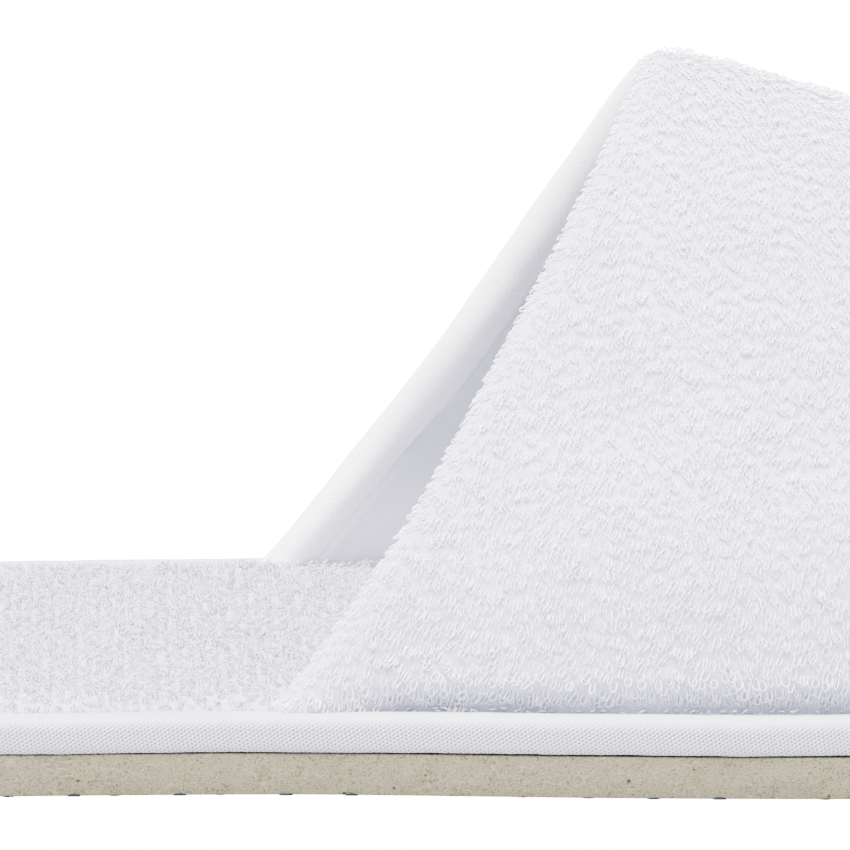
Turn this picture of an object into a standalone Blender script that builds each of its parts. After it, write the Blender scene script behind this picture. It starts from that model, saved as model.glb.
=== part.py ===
"""A closed-toe terry spa slipper, built from its separate layers.

The slipper stands on Z = 0 with its toe towards +X, and it is the same on both sides of the XZ plane, so it
fits either foot. From the floor up it holds a dotted grip layer, a foam outsole, a bound insole of backing,
padding and terry, and an upper of terry, padding and lining whose terry turns in over the throat's edge.
"""

import math

import bmesh
import bpy
from mathutils import Vector

MM = 0.001

# Sole outline, seen from above.
LENGTH = 285 * MM
BALL_HALF_WIDTH = 52 * MM
HEEL_HALF_WIDTH = 45.5 * MM
WAIST_PINCH = 2.2 * MM
WAIST_X = -15 * MM
WAIST_REACH = 36 * MM
BALL_X = 75 * MM
HEEL_X = -100 * MM
TOE_SQUARENESS = 2.3
HEEL_SQUARENESS = 2.1
HEEL_SEGMENTS = 7
SIDE_SEGMENTS = 13
TOE_SEGMENTS = 12
FOLD_SEGMENTS = 4

# Heights of the layers. Neighbours keep a small gap.
GAP = 0.2 * MM
GRIP_THICKNESS = 0.5 * MM
OUTSOLE_THICKNESS = 4.3 * MM
TAPE_THICKNESS = 0.5 * MM
TAPE_WIDTH_ON_TOP = 5.7 * MM
TAPE_STANDS_PROUD = 0.5 * MM
BACKING_RIM = 0.4 * MM
PADDING_RIM = 0.8 * MM
PADDING_THICKNESS = 2.4 * MM
INSOLE_TERRY_RIM = 0.5 * MM
INSOLE_TERRY_THICKNESS = 1.8 * MM
FLANGE_THICKNESS = 0.4 * MM
GRIP_INSET = 0.3 * MM
EDGE_IN_TAPE = 0.9 * MM
BACKING_EDGE = 1.8 * MM

OUTSOLE_BOTTOM = GRIP_THICKNESS + GAP
OUTSOLE_TOP = OUTSOLE_BOTTOM + OUTSOLE_THICKNESS
TAPE_BOTTOM = OUTSOLE_TOP + GAP
BACKING_RIM_BOTTOM = TAPE_BOTTOM + TAPE_THICKNESS + GAP
BACKING_TOP = BACKING_RIM_BOTTOM + BACKING_RIM
PADDING_BOTTOM = BACKING_TOP + GAP
PADDING_RIM_TOP = PADDING_BOTTOM + PADDING_RIM
PADDING_TOP = PADDING_BOTTOM + PADDING_THICKNESS
INSOLE_RIM_BOTTOM = PADDING_RIM_TOP + GAP
INSOLE_RIM_TOP = INSOLE_RIM_BOTTOM + INSOLE_TERRY_RIM
FLANGE_BOTTOM = INSOLE_RIM_TOP + GAP
FLANGE_TOP = FLANGE_BOTTOM + FLANGE_THICKNESS
TAPE_TOP = FLANGE_TOP + GAP + TAPE_THICKNESS
INSOLE_TOP = PADDING_TOP + GAP + INSOLE_TERRY_THICKNESS

# Rims of the insole layers, as distances in from the outline.
TAPE_INNER_EDGE = TAPE_WIDTH_ON_TOP - TAPE_STANDS_PROUD
BACKING_STEP = TAPE_INNER_EDGE + 1.4 * MM
BACKING_SLOPE = 0.2 * MM
PADDING_STEP = 8.2 * MM
TERRY_ROUND_PADDING = 1.0 * MM
INSOLE_STEP = 8.0 * MM
STEP_SLOPE = 2.6 * MM

# Threads.
THREAD_DIAMETER = 0.4 * MM
THREAD_TO_TAPE = 0.4 * MM
BINDING_THREAD_INSET = TAPE_INNER_EDGE + THREAD_TO_TAPE
BINDING_THREAD_HEIGHT = TAPE_TOP - THREAD_DIAMETER / 2

# The upper. Heights here are above the seam plane, the top of the tape.
SEAM_PLANE = TAPE_TOP
THROAT_CORNER_X = -17.3 * MM
THROAT_LEAN = 46.9 * MM
THROAT_BOW = 0.85
RIDGE_HEIGHT = 72.2 * MM
RIDGE_FALL = 0.311
RIDGE_KNEE_X = 33 * MM
RIDGE_KNEE = 6 * MM
ARCH_INSET = 2.0 * MM
ARCH_POWER_AT_THROAT = 1.35
ARCH_POWER_AT_BALL = 2.05
ARCH_POWER_AT_TOE = 3.0
CREST_ROUNDING = 0.17
CREST_FADE = 8
SIDE_BULGE = 2.2 * MM
SIDE_BULGE_HEIGHT = 36 * MM
TUCK_DEPTH = 4.4 * MM
TUCK_HEIGHT = 3.8 * MM

# Depths of the upper's layers below its outer face.
TERRY_THICKNESS = 1.3 * MM
FOAM_OUTER = 1.6 * MM
FOAM_INNER = 4.0 * MM
LINING_OUTER = 4.25 * MM
LINING_INNER = 4.75 * MM
HEM_FACE = 5.55 * MM
HEM_WIDTH = 6.0 * MM
HEM_TO_LINING = 0.4 * MM
FOAM_FROM_THROAT = 2.9 * MM
SEAM_THREAD_DEPTH = LINING_INNER + 0.4 * MM
SEAM_THREAD_FROM_THROAT = HEM_WIDTH + 0.9 * MM
FOAM_FOOT = 5.4 * MM
TERRY_FOOT = 0.15 * MM
FOOT_SHARE = 0.6
LINING_FOOT = INSOLE_TOP - SEAM_PLANE + 1.4 * MM
FLANGE_TIP_INSET = 1.8 * MM

SIDE_COLUMNS = 7
TOE_COLUMNS = 8
LIP_COLUMNS = 6
THROAT_STEPS = (0.0, 2.5 * MM, 6.0 * MM)
ARCH_SHARES = (0.0, 0.025, 0.055, 0.1, 0.17, 0.26, 0.37, 0.5, 0.63, 0.75, 0.85, 0.92, 0.965, 0.99, 1.0)

COLOURS = {
    "eva_foam": ((0.50, 0.46, 0.37), 0.85),
    "grip_rubber": ((0.035, 0.05, 0.09), 0.6),
    "backing_fleece": ((0.72, 0.72, 0.70), 0.95),
    "white_sponge": ((0.80, 0.79, 0.74), 0.95),
    "white_terry": ((0.86, 0.86, 0.88), 0.95),
    "white_tape": ((0.84, 0.85, 0.87), 0.8),
    "white_lining": ((0.80, 0.80, 0.83), 0.9),
    "white_thread": ((0.84, 0.84, 0.85), 0.7),
}


def clear_scene():
    """Removes whatever the scene held before."""
    for old in list(bpy.data.objects):
        bpy.data.objects.remove(old)


def new_collection(name):
    """A collection linked to the scene."""
    collection = bpy.data.collections.new(name)
    bpy.context.scene.collection.children.link(collection)
    return collection


def material(name):
    """The named material, made once."""
    found = bpy.data.materials.get(name)
    if found:
        return found
    colour, roughness = COLOURS[name]
    made = bpy.data.materials.new(name)
    made.use_nodes = True
    shader = made.node_tree.nodes["Principled BSDF"]
    shader.inputs["Base Color"].default_value = (*colour, 1.0)
    shader.inputs["Roughness"].default_value = roughness
    shader.inputs["Metallic"].default_value = 0.0
    return made


def add_object(name, data, finish, collection):
    """Puts a mesh or curve into the collection as a named sub-part."""
    part = bpy.data.objects.new(name, data)
    data.materials.append(material(finish))
    collection.objects.link(part)
    return part


def smoothstep(value):
    """0 below 0, 1 above 1, and a smooth rise between."""
    value = min(max(value, 0.0), 1.0)
    return value * value * (3 - 2 * value)


# ---------------------------------------------------------------- the sole


def side_half_width(x):
    """Half the sole's width between the heel's and the toe's round ends."""
    rise = smoothstep((x - HEEL_X) / (BALL_X - HEEL_X))
    pinch = WAIST_PINCH * math.exp(-(((x - WAIST_X) / WAIST_REACH) ** 2))
    ends = smoothstep((x - HEEL_X) / WAIST_REACH) * smoothstep((BALL_X - x) / WAIST_REACH)
    return HEEL_HALF_WIDTH + (BALL_HALF_WIDTH - HEEL_HALF_WIDTH) * rise - pinch * ends


def round_end(centre_x, reach, half_width, squareness, angle):
    """A point of a superellipse end, with angle 0 on its side and a quarter turn at its tip."""
    power = 2 / squareness
    x = centre_x + reach * math.sin(angle) ** power
    y = half_width * math.cos(angle) ** power
    return Vector((x, y, 0))


def half_outline():
    """The outline's +Y half, from the heel's tip to the toe's tip."""
    quarter = math.pi / 2
    heel_reach = HEEL_X + LENGTH / 2
    toe_reach = LENGTH / 2 - BALL_X
    points = []
    for step in range(HEEL_SEGMENTS):
        angle = quarter * (1 - step / HEEL_SEGMENTS)
        points.append(round_end(HEEL_X, -heel_reach, HEEL_HALF_WIDTH, HEEL_SQUARENESS, angle))
    for step in range(SIDE_SEGMENTS):
        x = HEEL_X + (BALL_X - HEEL_X) * step / SIDE_SEGMENTS
        points.append(Vector((x, side_half_width(x), 0)))
    for step in range(TOE_SEGMENTS + 1):
        angle = quarter * min(step / TOE_SEGMENTS, 1 - 1e-9)
        points.append(round_end(BALL_X, toe_reach, BALL_HALF_WIDTH, TOE_SQUARENESS, angle))
    points[0].y = 0
    points[-1].y = 0
    return points


def outline(inset, height=0.0):
    """The closed outline, anticlockwise from above, moved in by inset and lifted to height."""
    upper_half = half_outline()
    lower_half = [Vector((p.x, -p.y, 0)) for p in upper_half[1:-1]]
    ring = lower_half + list(reversed(upper_half))
    moved = []
    for index, point in enumerate(ring):
        along = ring[(index + 1) % len(ring)] - ring[index - 1]
        outward = Vector((along.y, -along.x, 0)).normalized()
        moved.append(point - outward * inset + Vector((0, 0, height)))
    return moved


def closed_curve(name, points, dimensions):
    """A cyclic poly curve through the points."""
    curve = bpy.data.curves.new(name, "CURVE")
    curve.dimensions = dimensions
    spline = curve.splines.new("POLY")
    spline.points.add(len(points) - 1)
    for control, point in zip(spline.points, points):
        control.co = (*point, 1.0)
    spline.use_cyclic_u = True
    return curve


def flat_layer(name, inset, bottom, thickness, finish, collection):
    """A layer of even thickness: a filled 2D outline extruded by half its thickness each way."""
    curve = closed_curve(name, outline(inset), "2D")
    curve.fill_mode = "BOTH"
    curve.extrude = thickness / 2
    layer = add_object(name, curve, finish, collection)
    layer.location.z = bottom + thickness / 2
    return layer


def rimmed_layer(name, inset, bottom, rim_thickness, steps, finish, collection):
    """A layer with a thin rim. Each step is (which face, flat width, sloping width, height)."""
    shape = bmesh.new()
    corners = [shape.verts.new(point) for point in outline(inset, bottom)]
    base = shape.faces.new(corners)
    raised = bmesh.ops.extrude_face_region(shape, geom=[base])["geom"]
    lifted = [item for item in raised if isinstance(item, bmesh.types.BMVert)]
    bmesh.ops.translate(shape, verts=lifted, vec=(0, 0, rim_thickness))
    bmesh.ops.recalc_face_normals(shape, faces=shape.faces)
    faces = sorted((f for f in shape.faces if abs(f.normal.z) > 0.9), key=lambda f: f.normal.z)
    ends = {"bottom": faces[0], "top": faces[-1]}
    for end, flat, slope, rise in steps:
        bmesh.ops.inset_region(shape, faces=[ends[end]], thickness=flat, use_even_offset=True)
        bmesh.ops.inset_region(shape, faces=[ends[end]], thickness=slope, depth=rise, use_even_offset=True)
    mesh = bpy.data.meshes.new(name)
    shape.to_mesh(mesh)
    shape.free()
    return add_object(name, mesh, finish, collection)


def tape_section():
    """The tape's C, as (outward, up) from the outline at its bottom: two legs and a rounded face."""
    height = TAPE_TOP - TAPE_BOTTOM
    bend = height / 2
    centre = TAPE_STANDS_PROUD - bend
    inner_edge = -TAPE_INNER_EDGE
    outer_arc, inner_arc = [], []
    for step in range(FOLD_SEGMENTS + 1):
        angle = -math.pi / 2 + math.pi * step / FOLD_SEGMENTS
        turn = Vector((math.cos(angle), math.sin(angle), 0))
        outer_arc.append(Vector((centre, bend, 0)) + turn * bend)
        inner_arc.append(Vector((centre, bend, 0)) + turn * (bend - TAPE_THICKNESS))
    lower_leg = [Vector((inner_edge, 0, 0))]
    upper_leg = [Vector((inner_edge, height, 0)), Vector((inner_edge, height - TAPE_THICKNESS, 0))]
    lower_leg_inside = [Vector((inner_edge, TAPE_THICKNESS, 0))]
    section = lower_leg + outer_arc + upper_leg + list(reversed(inner_arc)) + lower_leg_inside
    return list(reversed(section))


def edge_binding(collection, helpers):
    """The tape that wraps the insole's edge, swept round the outline."""
    section = bpy.data.objects.new("tape_section", closed_curve("tape_section", tape_section(), "2D"))
    helpers.objects.link(section)
    section.hide_render = True
    section.display_type = "WIRE"
    path = closed_curve("edge_binding", outline(0), "3D")
    path.twist_mode = "Z_UP"
    path.bevel_mode = "OBJECT"
    path.bevel_object = section
    tape = add_object("edge_binding", path, "white_tape", collection)
    tape.location.z = TAPE_BOTTOM
    return tape


def binding_thread(collection):
    """The thread that runs along the tape's inner edge, right round the slipper."""
    points = outline(BINDING_THREAD_INSET, BINDING_THREAD_HEIGHT)
    curve = closed_curve("binding_thread", points, "3D")
    curve.bevel_depth = THREAD_DIAMETER / 2
    curve.bevel_resolution = 1
    return add_object("binding_thread", curve, "white_thread", collection)


def sole(collection, helpers):
    """Everything below the upper."""
    flat_layer("grip_layer", GRIP_INSET, 0, GRIP_THICKNESS, "grip_rubber", collection)
    flat_layer("outsole", 0, OUTSOLE_BOTTOM, OUTSOLE_THICKNESS, "eva_foam", collection)
    to_backing_step = BACKING_STEP - BACKING_EDGE
    backing_steps = [("bottom", to_backing_step, BACKING_SLOPE, BACKING_RIM_BOTTOM - TAPE_BOTTOM)]
    rimmed_layer(
        "insole_backing",
        BACKING_EDGE,
        BACKING_RIM_BOTTOM,
        BACKING_RIM,
        backing_steps,
        "backing_fleece",
        collection,
    )
    padding_rise = PADDING_THICKNESS - PADDING_RIM
    padding_steps = [("top", PADDING_STEP - EDGE_IN_TAPE, STEP_SLOPE, padding_rise)]
    rimmed_layer(
        "insole_padding", EDGE_IN_TAPE, PADDING_BOTTOM, PADDING_RIM, padding_steps, "white_sponge", collection
    )
    under_rise = PADDING_TOP - PADDING_RIM_TOP
    top_rise = INSOLE_TOP - INSOLE_RIM_TOP
    terry_steps = [
        ("bottom", PADDING_STEP - TERRY_ROUND_PADDING - EDGE_IN_TAPE, STEP_SLOPE, -under_rise),
        ("top", INSOLE_STEP - EDGE_IN_TAPE, STEP_SLOPE, top_rise),
    ]
    rimmed_layer(
        "insole_terry", EDGE_IN_TAPE, INSOLE_RIM_BOTTOM, INSOLE_TERRY_RIM, terry_steps, "white_terry", collection
    )
    edge_binding(collection, helpers)
    binding_thread(collection)


# ---------------------------------------------------------------- the upper


def ridge_height(x):
    """The ridge's height above the seam plane: level near the throat, then a steady fall to the toe."""
    past = x - RIDGE_KNEE_X
    return RIDGE_HEIGHT - RIDGE_FALL * (math.hypot(past, RIDGE_KNEE) + past) / 2


def throat_x(level):
    """Where the throat's edge lies along X at a share of the ridge's height."""
    return THROAT_CORNER_X + THROAT_LEAN * level**THROAT_BOW


def wall_shift(height, tuck):
    """How far the wall stands out from the plain arch: a soft bulge, less the tuck at its foot."""
    bulge = SIDE_BULGE * math.sin(math.pi * min(max(height / SIDE_BULGE_HEIGHT, 0), 1)) ** 2
    return bulge - tuck * TUCK_DEPTH * (1 - smoothstep(height / TUCK_HEIGHT))


def spread(level, power):
    """The share of its foot's half width that an arch still has at a level, with its crest rounded."""
    base = CREST_ROUNDING**power
    full = (1 + CREST_ROUNDING**2) ** (power / 2) - base
    return math.sqrt(max(((1 - level) * full + base) ** (2 / power) - CREST_ROUNDING**2, 0))


def side_point(distance, station, share, foot, tuck):
    """A point of the +Y side, with station running from 0 at the throat to 1 at the ball."""
    start = throat_x((foot + (RIDGE_HEIGHT - foot) * share) / RIDGE_HEIGHT) + distance
    x = start + (BALL_X - start) * station
    level = foot / ridge_height(x) + (1 - foot / ridge_height(x)) * share
    power = ARCH_POWER_AT_THROAT + (ARCH_POWER_AT_BALL - ARCH_POWER_AT_THROAT) * station
    height = ridge_height(x) * level
    half_width = (side_half_width(x) - ARCH_INSET) * spread(level, power)
    shift = wall_shift(height, tuck) * min(1, CREST_FADE * (1 - level))
    return Vector((x, half_width + shift, height))


def toe_point(station, share, foot, tuck):
    """A point of the toe's round end, with station running from 1 at the ball to 2 at the tip."""
    turn = station - 1
    angle = min(math.pi / 2 * turn, math.pi / 2 - 1e-9)
    reach = LENGTH / 2 - BALL_X - ARCH_INSET
    breadth = BALL_HALF_WIDTH - ARCH_INSET
    rim = round_end(0, reach, breadth, TOE_SQUARENESS, angle)
    power = ARCH_POWER_AT_BALL + (ARCH_POWER_AT_TOE - ARCH_POWER_AT_BALL) * turn
    foot_level = foot / ridge_height(BALL_X + rim.x)
    level = foot_level + (1 - foot_level) * share
    ray = rim * spread(level, power)
    height = ridge_height(BALL_X + ray.x) * level
    steep = TOE_SQUARENESS - 1
    outward = Vector((rim.x**steep / reach**TOE_SQUARENESS, rim.y**steep / breadth**TOE_SQUARENESS, 0))
    shift = wall_shift(height, tuck) * min(1, CREST_FADE * (1 - level))
    return Vector((BALL_X, 0, height)) + ray + outward.normalized() * shift


def outer_point(distance, station, share, foot, tuck):
    """A point of the upper's outer face, above the seam plane."""
    if station <= 1:
        return side_point(distance, station, share, foot, tuck)
    return toe_point(station, share, foot, tuck)


def outward_at(distance, station, share, foot, tuck):
    """The upper's outward direction at a point, from two short steps along its outer face."""
    here = outer_point(distance, station, share, foot, tuck)
    if share > 0.999:
        slope = (ridge_height(here.x + MM) - ridge_height(here.x - MM)) / (2 * MM)
        return Vector((-slope, 0, 1)).normalized()
    step = 1e-4 if station < 1.5 else -1e-4
    forward = (outer_point(distance, station + step, share, foot, tuck) - here) / step
    upward = outer_point(distance, station, share + 1e-4, foot, tuck) - here
    return upward.cross(forward).normalized()


def layer_point(column, share):
    """A point at a depth below the outer face. A column is (distance, station, depth, foot, tuck)."""
    distance, station, depth, foot, tuck = column
    outer = outer_point(distance, station, share, foot, tuck)
    point = outer - outward_at(distance, station, share, foot, tuck) * depth
    if share == 1:
        point.y = 0
    return point + Vector((0, 0, SEAM_PLANE))


def layer_columns(start, depth, foot, tuck):
    """Columns at one depth, from the throat on the +Y side to the toe's tip."""
    near = [(start + step, 0, depth, foot, tuck) for step in THROAT_STEPS]
    last = near[-1][0]
    stations = [step / SIDE_COLUMNS for step in range(1, SIDE_COLUMNS + 1)]
    stations += [1 + step / TOE_COLUMNS for step in range(1, TOE_COLUMNS + 1)]
    return near + [(last, station, depth, foot, tuck) for station in stations]


def hem_columns():
    """Columns of the terry's turned-in hem and of the lip where it rolls over the throat's edge."""
    radius = HEM_FACE / 2
    starts = (HEM_WIDTH, (HEM_WIDTH + radius) / 2)
    columns = [(start, 0, HEM_FACE, LINING_FOOT, 0) for start in starts]
    for step in range(LIP_COLUMNS):
        angle = math.pi * step / LIP_COLUMNS
        depth = radius * (1 + math.cos(angle))
        share = depth / HEM_FACE
        foot = TERRY_FOOT + (LINING_FOOT - TERRY_FOOT) * share
        columns.append((radius - radius * math.sin(angle), 0, depth, foot, 1 - share))
    return columns


def flange_point(column, row):
    """A point of the terry's foot where it turns out under the tape: row 0 is its tip and row 1 its bend."""
    foot = layer_point(column, 0)
    outward = outward_at(column[0], column[1], 0.001, column[3], column[4])
    outward.z = 0
    reach = ARCH_INSET + TUCK_DEPTH - FLANGE_TIP_INSET if row == 0 else 0
    point = foot + outward.normalized() * reach
    return Vector((point.x, point.y, FLANGE_TOP))


def row_point(column, row, flange_rows):
    """A point of a column's row, counting the flange's rows before those of the arch."""
    if row < flange_rows:
        return flange_point(column, row)
    return layer_point(column, ARCH_SHARES[row - flange_rows])


def upper_surface(columns, turned_in, flange_rows):
    """An open surface through the columns and their mirror images, merged along the ridge."""
    last_column = 2 * (len(columns) - 1)
    last_row = len(ARCH_SHARES) - 1 + flange_rows
    shape = bmesh.new()
    bmesh.ops.create_grid(shape, x_segments=last_column, y_segments=last_row, size=0.5)
    if flange_rows:
        first = (turned_in - 0.5) / last_column
        under = flange_rows / last_row
        cut = [f for f in shape.faces if f.calc_center_median().y + 0.5 < under]
        cut = [f for f in cut if abs(f.calc_center_median().x) > 0.5 - first]
        bmesh.ops.delete(shape, geom=cut, context="FACES")
    shape.verts.index_update()
    rows = {}
    for vert in shape.verts:
        column = round((vert.co.x + 0.5) * last_column)
        row = round((vert.co.y + 0.5) * last_row)
        mirrored = column < len(columns) - 1
        point = row_point(columns[column if mirrored else last_column - column], row, flange_rows)
        vert.co = (point.x, -point.y if mirrored else point.y, point.z)
        rows[vert] = row
    flange = [vert.index for vert in shape.verts if rows[vert] < flange_rows]
    foot = [vert.index for vert in shape.verts if flange_rows and rows[vert] == flange_rows]
    ridge = [vert for vert in shape.verts if rows[vert] == last_row]
    bmesh.ops.remove_doubles(shape, verts=ridge, dist=0.01 * MM)
    return shape, flange, foot


def upper_layer(name, columns, thickness, finish, collection, turned_in=0, flange_rows=0):
    """A layer of the upper, thickened inwards from its outer face."""
    shape, flange, foot = upper_surface(columns, turned_in, flange_rows)
    mesh = bpy.data.meshes.new(name)
    shape.to_mesh(mesh)
    shape.free()
    layer = add_object(name, mesh, finish, collection)
    thicken = layer.modifiers.new("thickness", "SOLIDIFY")
    thicken.thickness = thickness
    thicken.offset = -1
    thicken.use_even_offset = True
    if flange_rows:
        group = layer.vertex_groups.new(name="thickness")
        group.add(range(len(mesh.vertices)), 1.0, "REPLACE")
        group.add(foot, FOOT_SHARE, "REPLACE")
        group.add(flange, FLANGE_THICKNESS / thickness, "REPLACE")
        thicken.vertex_group = group.name
    return layer


def throat_thread(collection):
    """The seam thread over the joint between the hem and the lining."""
    column = (SEAM_THREAD_FROM_THROAT, 0, SEAM_THREAD_DEPTH, LINING_FOOT, 0)
    half = [layer_point(column, share) for share in ARCH_SHARES]
    points = half + [Vector((p.x, -p.y, p.z)) for p in reversed(half[:-1])]
    curve = bpy.data.curves.new("throat_thread", "CURVE")
    curve.dimensions = "3D"
    spline = curve.splines.new("POLY")
    spline.points.add(len(points) - 1)
    for control, point in zip(spline.points, points):
        control.co = (*point, 1.0)
    curve.bevel_depth = THREAD_DIAMETER / 2
    curve.bevel_resolution = 1
    curve.use_fill_caps = True
    return add_object("throat_thread", curve, "white_thread", collection)


def upper(collection):
    """Terry outside, foam between, and a smooth lining inside, with the terry's hem turned in."""
    hem = hem_columns()
    main = layer_columns(HEM_FACE / 2, 0, TERRY_FOOT, 1)
    upper_layer("upper_terry", hem + main, TERRY_THICKNESS, "white_terry", collection, len(hem), 2)
    foam = layer_columns(FOAM_FROM_THROAT, FOAM_OUTER, FOAM_FOOT, 0)
    upper_layer("upper_padding", foam, FOAM_INNER - FOAM_OUTER, "white_sponge", collection)
    lining = layer_columns(HEM_WIDTH + HEM_TO_LINING, LINING_OUTER, LINING_FOOT, 0)
    upper_layer("upper_lining", lining, LINING_INNER - LINING_OUTER, "white_lining", collection)
    throat_thread(collection)


def shade_smooth(collection):
    """Shades the collection's meshes smooth."""
    for part in collection.objects:
        if part.type == "MESH":
            for face in part.data.polygons:
                face.use_smooth = True


def main():
    """Builds the slipper from the floor up."""
    clear_scene()
    slipper = new_collection("spa_slipper")
    helpers = new_collection("helpers")
    sole(slipper, helpers)
    upper(slipper)
    shade_smooth(slipper)


main()
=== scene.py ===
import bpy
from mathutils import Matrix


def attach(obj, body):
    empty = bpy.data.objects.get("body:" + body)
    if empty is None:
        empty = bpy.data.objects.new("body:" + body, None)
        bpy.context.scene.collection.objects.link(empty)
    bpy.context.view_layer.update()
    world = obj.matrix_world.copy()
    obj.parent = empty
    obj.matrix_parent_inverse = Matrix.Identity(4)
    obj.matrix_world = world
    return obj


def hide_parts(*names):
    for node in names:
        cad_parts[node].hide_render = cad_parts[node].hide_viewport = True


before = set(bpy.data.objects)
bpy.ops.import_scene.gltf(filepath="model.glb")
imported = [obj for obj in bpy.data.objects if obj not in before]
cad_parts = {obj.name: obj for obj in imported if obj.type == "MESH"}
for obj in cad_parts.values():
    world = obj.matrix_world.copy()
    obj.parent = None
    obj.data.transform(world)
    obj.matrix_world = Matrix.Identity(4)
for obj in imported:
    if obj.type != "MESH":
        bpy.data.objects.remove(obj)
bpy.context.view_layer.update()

"""The look of a closed-toe terry spa slipper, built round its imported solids.

The slipper stands on Z = 0 with its toe towards +X and is the same on both sides of the XZ plane. Each class
below makes one sub-assembly: it builds the pieces, then dresses them in their finishes.
"""
import logging
import math
from collections.abc import Callable
from dataclasses import dataclass, field
from enum import Enum
from random import Random

import bmesh
import bpy
import numpy as np
from mathutils import Matrix, Vector, noise

MM = 0.001
SIM_STEP = 3
SIM_FRAMES = 20
SIM_PRESSURE = 4
WELD = 0.02 * MM
QUARTER_TURN = math.pi / 2 * (1 - 1e-9)
log = logging.getLogger("slipper")


# ---------- sizes


@dataclass(frozen=True)
class Sizes:
    """The slipper's driving sizes, in metres, heights measured from the floor."""

    length: float = 285 * MM
    ball_half_width: float = 52 * MM
    heel_half_width: float = 45.5 * MM
    waist_pinch: float = 2.2 * MM
    waist_x: float = -15 * MM
    waist_reach: float = 36 * MM
    ball_x: float = 75 * MM
    heel_x: float = -100 * MM
    toe_squareness: float = 2.3
    heel_squareness: float = 2.1
    sole_bottom: float = 0.05 * MM
    sole_top: float = 5.0 * MM
    tape_bottom: float = 5.1 * MM
    tape_top: float = 9.3 * MM
    insole_top: float = 10.0 * MM


SIZES = Sizes()


def smoothstep(value: float) -> float:
    """Rises smoothly from 0 at 0 to 1 at 1.

    Args:
        value: Any number.

    Returns:
        The eased share, held between 0 and 1.
    """
    value = min(max(value, 0.0), 1.0)
    return value * value * (3 - 2 * value)


def ripple(point: Vector, scale: float, seed: float = 0.0) -> float:
    """A soft random wave in space.

    Args:
        point: Where to read it, in metres.
        scale: The size of one swell, in metres.
        seed: Moves the pattern, so that two pieces don't share it.

    Returns:
        A value near -1 to 1.
    """
    return noise.noise(point / scale + Vector((seed, seed * 0.7, -seed)))


class SoleOutline:
    """The sole's closed outline from above, which every flat layer follows."""

    def __init__(self, sizes: Sizes, samples: int = 160) -> None:
        """Args:
            sizes: The slipper's sizes.
            samples: Points along each stretch of the half outline.
        """
        self.sizes = sizes
        half = self._half(samples)
        ring = np.array(half + [(x, -y) for x, y in reversed(half[1:-1])])[::-1]
        self.ring = ring
        closed = np.vstack([ring, ring[:1]])
        self.lengths = np.concatenate([[0.0], np.cumsum(np.linalg.norm(np.diff(closed, axis=0), axis=1))])
        self.perimeter = float(self.lengths[-1])
        along = np.roll(ring, -1, axis=0) - np.roll(ring, 1, axis=0)
        along /= np.linalg.norm(along, axis=1)[:, None]
        self.outward = np.column_stack([along[:, 1], -along[:, 0]])

    def half_width(self, x: float) -> float:
        """Args:
            x: A place along the slipper between its round ends.

        Returns:
            Half the sole's width there.
        """
        s = self.sizes
        rise = smoothstep((x - s.heel_x) / (s.ball_x - s.heel_x))
        pinch = s.waist_pinch * math.exp(-(((x - s.waist_x) / s.waist_reach) ** 2))
        ends = smoothstep((x - s.heel_x) / s.waist_reach) * smoothstep((s.ball_x - x) / s.waist_reach)
        return s.heel_half_width + (s.ball_half_width - s.heel_half_width) * rise - pinch * ends

    def _half(self, samples: int) -> list[tuple[float, float]]:
        """Args:
            samples: Points along each stretch.

        Returns:
            The +Y half, from the heel's tip to the toe's tip.
        """
        s = self.sizes
        shares = [step / samples for step in range(samples)]
        sides = [s.heel_x + (s.ball_x - s.heel_x) * share for share in shares]
        heel = (s.heel_x, -s.length / 2, s.heel_half_width, s.heel_squareness)
        toe = (s.ball_x, s.length / 2, s.ball_half_width, s.toe_squareness)
        points = [self._round_end(1 - share, *heel) for share in shares]
        points += [(x, self.half_width(x)) for x in sides]
        points += [self._round_end(share, *toe) for share in shares]
        return [(-s.length / 2, 0.0)] + points[1:] + [(s.length / 2, 0.0)]

    def _round_end(
        self, turn: float, start: float, tip: float, breadth: float, squareness: float
    ) -> tuple[float, float]:
        """Returns the point of a round end at a turn: 0 where it starts, broadside, and 1 at its tip."""
        power, angle = 2 / squareness, QUARTER_TURN * turn
        return start + (tip - start) * math.sin(angle) ** power, breadth * math.cos(angle) ** power

    def at(self, share: float, inset: float = 0.0) -> tuple[Vector, Vector]:
        """Args:
            share: How far round the outline, from 0 to 1, anticlockwise from the toe's tip.
            inset: How far in from the outline.

        Returns:
            The point and the outward direction there, both level.
        """
        length = (share % 1.0) * self.perimeter
        index = int(np.searchsorted(self.lengths, length, side="right")) - 1
        index = min(index, len(self.ring) - 1)
        after = (index + 1) % len(self.ring)
        span = self.lengths[index + 1] - self.lengths[index]
        blend = (length - self.lengths[index]) / max(span, 1e-12)
        point = self.ring[index] * (1 - blend) + self.ring[after] * blend
        outward = self.outward[index] * (1 - blend) + self.outward[after] * blend
        outward /= np.linalg.norm(outward)
        point = point - outward * inset
        return Vector((point[0], point[1], 0)), Vector((outward[0], outward[1], 0))

    def inset_of(self, places: np.ndarray) -> tuple[np.ndarray, np.ndarray]:
        """Args:
            places: Level points, one (x, y) in each row.

        Returns:
            How far inside the outline each lies, and the index of its nearest outline point.
        """
        gaps = places[:, None, :] - self.ring[None, :, :]
        nearest = np.argmin((gaps**2).sum(axis=2), axis=1)
        picked = gaps[np.arange(len(places)), nearest]
        return -(picked * self.outward[nearest]).sum(axis=1), nearest


OUTLINE = SoleOutline(SIZES)


@dataclass(frozen=True)
class Column:
    """One line up the upper, from its foot to its ridge."""

    distance: float
    station: float
    depth: float
    foot: float
    tuck: float


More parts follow.
